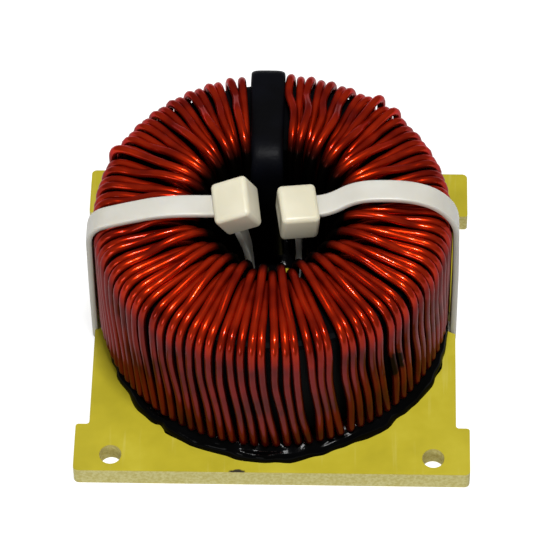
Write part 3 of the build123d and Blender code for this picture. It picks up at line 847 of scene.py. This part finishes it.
# %% Finish leads
lead_pitch = 1.7
lead_end_z = 10.0
lead_route = (
    (*bore_way, low_first_z, under_cut), (*bore_way, sleeve_top_z, over_cut),
    (*shoulder_way, sleeve_top_z + sleeve_rise, edge_cut), (*wall_way, bend_z, down_cut),
    (*wall_way, lead_end_z, 0.0),
)


def lead_run(strand):
    """The last wall run of a strand, its foot and its way up the bore and over the back."""
    index = turn_count + strand
    corners = [(wall_break(index), 0.0), (low_wall(index), wall_cut),
               (on_ring(foot_angle(index), wall_r, low_first_z), foot_cut)]
    for angle, radius, height, cut in lead_route:
        beside = aside(angle, radius, (strand - 0.5) * lead_pitch)
        corners.append((on_ring(beside, radius, height), cut))
    return rounded(corners)


lead_runs = [lead_run(strand) for strand in range(strands)]
lead_shape = wire_mesh("finish_lead_wire", lead_runs, wire_r * MM)
leads = add_piece("finish_lead_wire", lead_shape, enamel, ["finish_lead"])
print("finish leads span", span(leads), "mm")

# %% [markdown]
# A tie's head is a small moulded block with soft edges, pulled round by its strap, so it sits
# askew. A bevelled cube is all it needs. On the right one, the end towards the bore can be
# seen, and that has a shallow window, which two insets make: one for its margin and one for its
# depth.

# %% Heads of the ties
head_size = (7.2, 8.4, 6.6)
head_round = 0.95
window_margin, window_lip, window_depth = 1.3, 0.25, 0.5


def tie_head(name, middle, askew, window, replaced):
    """A block with soft edges; window is the side along x that has one, or 0 for none."""
    shaper = bmesh.new()
    bmesh.ops.create_cube(shaper, size=1.0)
    bmesh.ops.scale(shaper, verts=shaper.verts, vec=Vector(head_size) * MM)
    bmesh.ops.bevel(shaper, geom=shaper.edges[:], offset=head_round * MM, segments=5,
                    profile=0.5, affect="EDGES", material=-1)
    if window:
        end = max(shaper.faces, key=lambda face: face.calc_center_median().x * window)
        bmesh.ops.inset_region(shaper, faces=[end], thickness=window_margin * MM, depth=0.0)
        bmesh.ops.inset_region(shaper, faces=[end], thickness=window_lip * MM,
                               depth=-window_depth * MM)
    about_z, about_y, about_x = (radians(value) for value in askew)
    turn = (Matrix.Rotation(about_z, 4, "Z") @ Matrix.Rotation(about_y, 4, "Y")
            @ Matrix.Rotation(about_x, 4, "X"))
    bmesh.ops.transform(shaper, matrix=Matrix.Translation(Vector(middle) * MM) @ turn,
                        verts=shaper.verts)
    bmesh.ops.recalc_face_normals(shaper, faces=shaper.faces)
    shape = bpy.data.meshes.new(name)
    shaper.to_mesh(shape)
    shaper.free()
    return add_piece(name, shape, head_nylon, replaced)


left_head = tie_head("tie_head_left", middle=(-6.9, -1.1, 41.75), askew=(2.7, -23.8, 11.6),
                     window=0, replaced=["cable_tie_left"])
right_head = tie_head("tie_head_right", middle=(4.5, 0.15, 38.3), askew=(9.0, 3.8, 3.9),
                      window=-1, replaced=["cable_tie_right"])
print("heads span", span(left_head), span(right_head), "mm")

# %% [markdown]
# The scene is a plain product shot on a pale floor. The floor has to look white without
# throwing white light back on the object, so it glows only for rays that come from the camera,
# from a mirror-like surface or through glass. For all other rays it is a light grey. The
# object's shadow still falls on it.

# %% Floor
floor_half = 1.5
floor_mesh = bpy.data.meshes.new("floor")
shaper = bmesh.new()
bmesh.ops.create_grid(shaper, x_segments=1, y_segments=1, size=floor_half)
shaper.to_mesh(floor_mesh)
shaper.free()
floor = bpy.data.objects.new("floor", floor_mesh)
bpy.context.scene.collection.objects.link(floor)
# Backdrop paper, rolled smooth: matt and even, so that only the shadow shows on it
paper, tree, _ = new_material("rolled_backdrop_paper")
rays = add_node(tree, "LightPath").outputs
mirrored = add_node(tree, "Math", {"operation": "ADD"},
                    i0=rays["Is Glossy Ray"], i1=rays["Is Transmission Ray"])
seen = add_node(tree, "Math", {"operation": "ADD", "use_clamp": True},
                i0=rays["Is Camera Ray"], i1=mirrored.outputs["Value"])
lit = add_node(tree, "BsdfDiffuse", Color=linear_colour("#A8A8A8"))
glow = add_node(tree, "Emission", Color=(1.0, 1.0, 1.0, 1.0), Strength=0.80)
both = add_node(tree, "AddShader", i0=lit.outputs["BSDF"], i1=glow.outputs["Emission"])
mixed = add_node(tree, "MixShader", Fac=seen.outputs["Value"], i1=lit.outputs["BSDF"],
                 i2=both.outputs["Shader"])
finish_material(tree, mixed.outputs["Shader"])
floor_mesh.materials.append(paper)
print("floor:", 2 * floor_half, "m wide")

# %% [markdown]
# Two lamps and an even white world light the object. The key lamp is small and high, a little
# in front, which gives the wires their bright lines on top and a soft shadow close to the
# board. A larger, weaker lamp stands low in front at the left and opens up the wall of the
# winding. The world fills the rest at about a quarter of white.

# %% Lamps and world
world_light = 0.27
world = bpy.data.worlds.new("studio")
bpy.context.scene.world = world
world.use_nodes = True
background = world.node_tree.nodes["Background"]
background.inputs["Color"].default_value = (1.0, 1.0, 1.0, 1.0)
background.inputs["Strength"].default_value = world_light


def soft_lamp(name, place, aim, size, power):
    """A rectangular lamp at a place in metres, turned to its aim, with its power in watts."""
    lamp = bpy.data.lights.new(name, "AREA")
    lamp.shape = "RECTANGLE"
    lamp.size = size[0]
    lamp.size_y = size[1]
    lamp.energy = power
    holder = bpy.data.objects.new(name, lamp)
    holder.location = place
    holder.rotation_euler = (Vector(aim) - Vector(place)).to_track_quat("-Z", "Y").to_euler()
    bpy.context.scene.collection.objects.link(holder)


soft_lamp("key_lamp", place=(0.05, -0.10, 0.75), aim=(0.0, 0.0, 0.03), size=(0.12, 0.10),
          power=4.6)
soft_lamp("front_lamp", place=(-0.30, -0.66, 0.28), aim=(0.0, 0.0, 0.02), size=(0.30, 0.20),
          power=1.1)
print("lamps:", len(bpy.data.lights))

# %% [markdown]
# The camera is the photograph's own, worked out from the corners and holes of the board: a
# long lens, 54 degrees above the horizon, turned and rolled by a degree or two. It is built
# from those angles: first it looks along the board's own y axis, then the yaw turns the whole
# set-up round the vertical.

# %% Camera
image_side = 560
focal_pixels = 3647.27
camera_distance = 711.908 * MM
elevation = 0.9414032
yaw = -0.0347282
roll = -0.0160818
aim_across = -1.0 * MM
aim_up = -9.858 * MM
towards = Vector((0.0, cos(elevation), -sin(elevation)))
flat_right = Vector((1.0, 0.0, 0.0))
flat_up = Vector((0.0, sin(elevation), cos(elevation)))
aim = -aim_across * flat_right - aim_up * flat_up
right = cos(roll) * flat_right + sin(roll) * flat_up
up = -sin(roll) * flat_right + cos(roll) * flat_up
yawed = Matrix.Rotation(-yaw, 3, "Z")
eye = yawed @ (aim - camera_distance * towards)
axes = Matrix((yawed @ right, yawed @ up, yawed @ -towards)).transposed()
lens = bpy.data.cameras.new("camera")
lens.sensor_width = 36.0
lens.lens = focal_pixels * lens.sensor_width / image_side
lens.clip_end = 10.0
camera = bpy.data.objects.new("camera", lens)
camera.matrix_world = Matrix.Translation(eye) @ axes.to_4x4()
bpy.context.scene.collection.objects.link(camera)
bpy.context.scene.camera = camera
bpy.context.scene.view_settings.view_transform = "Standard"
print("camera at", tuple(round(value, 4) for value in eye))
